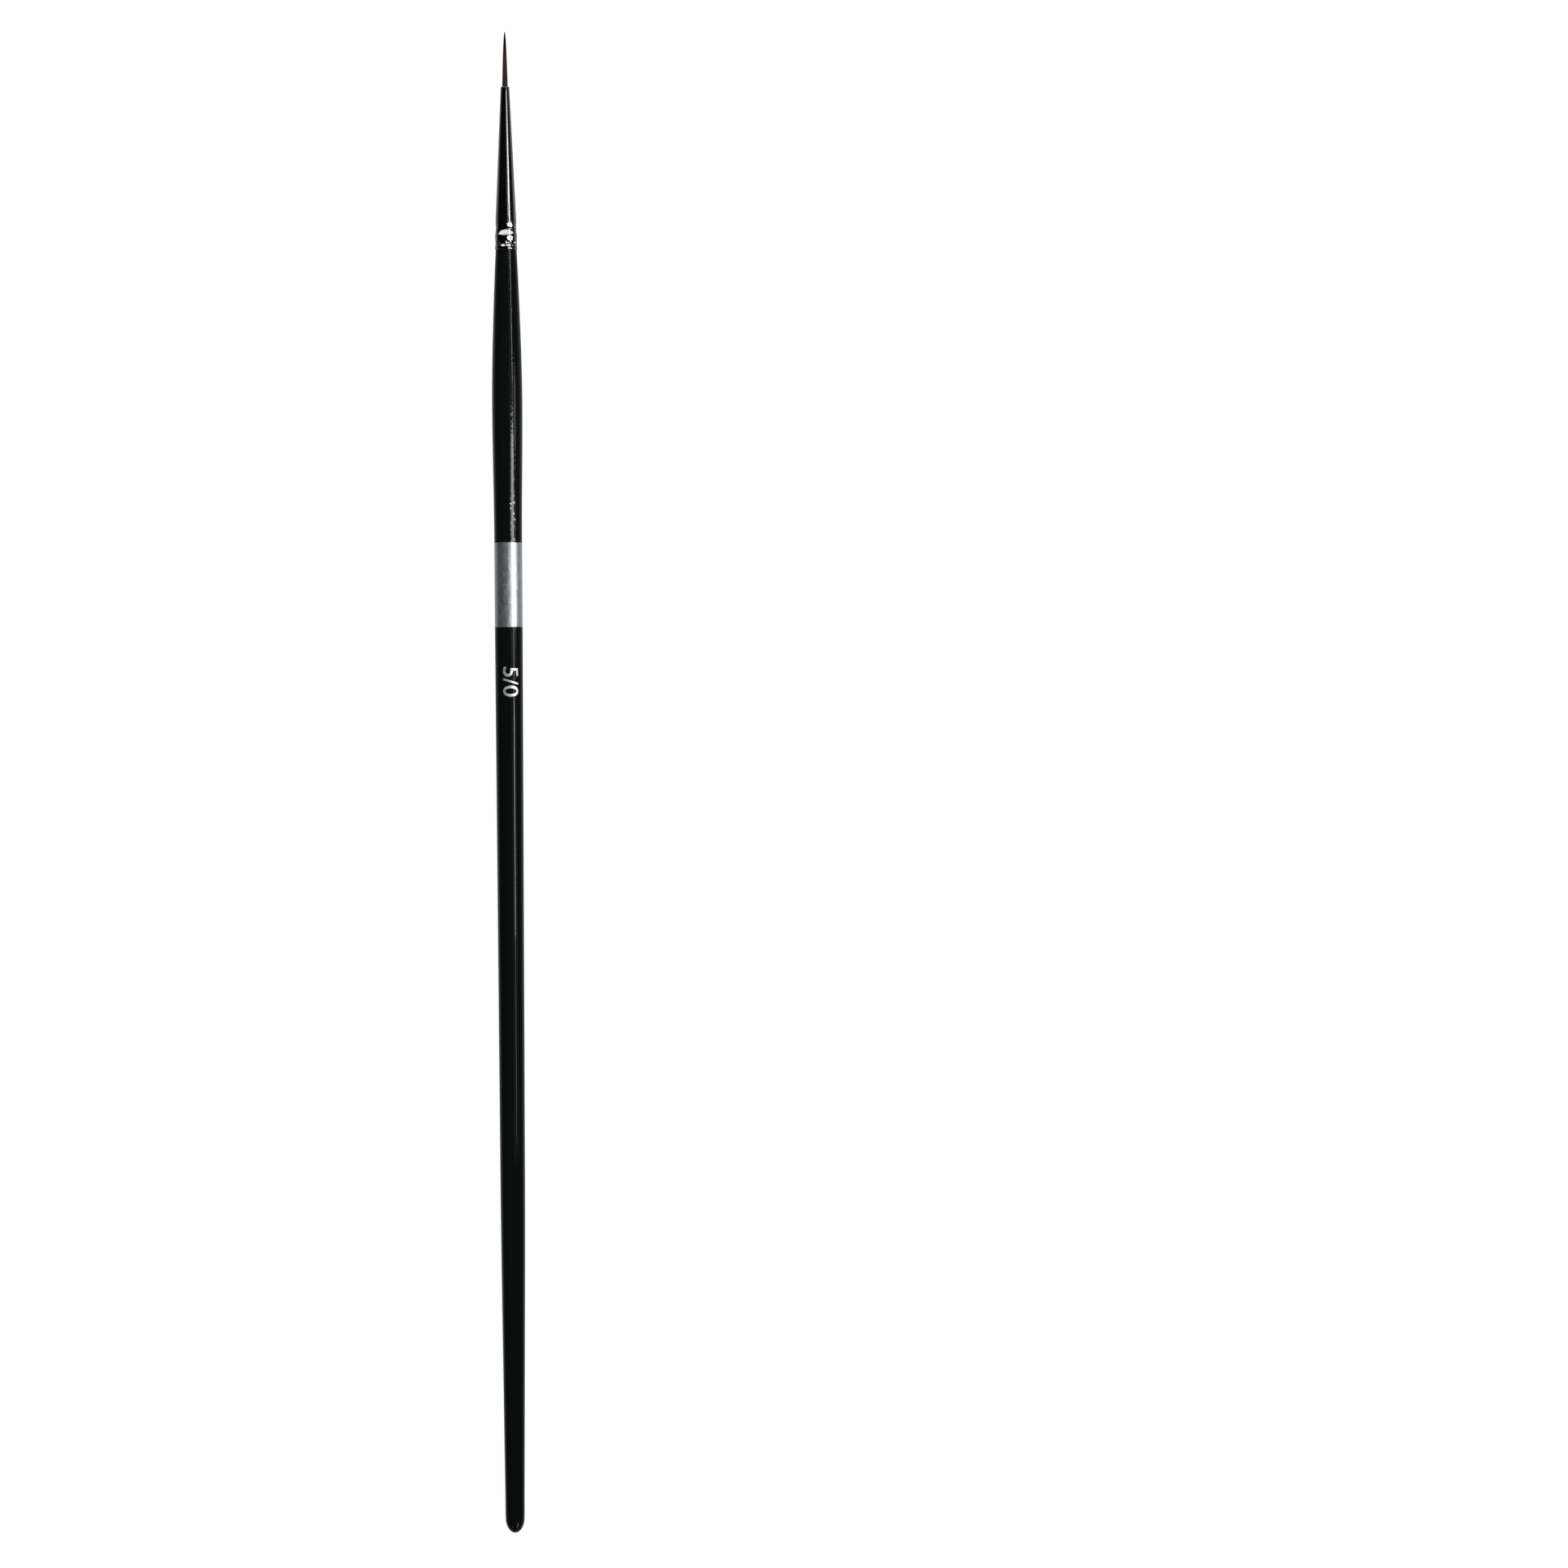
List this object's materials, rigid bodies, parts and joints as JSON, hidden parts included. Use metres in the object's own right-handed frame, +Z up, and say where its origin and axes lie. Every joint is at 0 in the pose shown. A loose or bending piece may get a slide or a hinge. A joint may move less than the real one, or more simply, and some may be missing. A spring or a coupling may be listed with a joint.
{
  "type": "fine detail brush",
  "caption": "Fine detail paint brush: a short pointed tuft in a crimped nickel-plated cone ferrule, on a slim black lacquered wooden handle with a silver band.",
  "frame": {"origin": "on the surface that the brush lies on, under the middle of its length", "axes": "+X along the brush from its tail to its hair tip, +Z up from the surface, +Y across"},
  "size_m": [0.19, 0.0038, 0.0038],
  "materials": {
    "turned_wood": "satin",
    "black_lacquer": "gloss",
    "silver_foil": "satin",
    "wood_glue": "satin",
    "nickel_plate": "polished",
    "root_cement": "satin",
    "binding_thread": "matte",
    "tuft_hair": "satin"
  },
  "bodies": {
    "root": {"handle_core": "turned_wood", "front_coat": "black_lacquer", "silver_band": "silver_foil", "rear_coat": "black_lacquer", "tenon_glue": "wood_glue", "ferrule": "nickel_plate", "root_cement": "root_cement", "binding_thread": "binding_thread", "filament_01": "tuft_hair", "filament_02": "tuft_hair", "filament_03": "tuft_hair", "filament_04": "tuft_hair", "filament_05": "tuft_hair", "filament_06": "tuft_hair", "filament_07": "tuft_hair", "filament_08": "tuft_hair", "filament_09": "tuft_hair", "filament_10": "tuft_hair", "filament_11": "tuft_hair", "filament_12": "tuft_hair", "filament_13": "tuft_hair", "filament_14": "tuft_hair", "filament_15": "tuft_hair", "filament_16": "tuft_hair", "filament_17": "tuft_hair", "filament_18": "tuft_hair", "filament_19": "tuft_hair", "filament_20": "tuft_hair", "filament_21": "tuft_hair", "filament_22": "tuft_hair", "filament_23": "tuft_hair", "filament_24": "tuft_hair", "filament_25": "tuft_hair", "filament_26": "tuft_hair", "filament_27": "tuft_hair", "filament_28": "tuft_hair", "filament_29": "tuft_hair", "filament_30": "tuft_hair", "filament_31": "tuft_hair", "filament_32": "tuft_hair", "filament_33": "tuft_hair", "filament_34": "tuft_hair", "filament_35": "tuft_hair", "filament_36": "tuft_hair", "filament_37": "tuft_hair"}
  },
  "joints": []
}
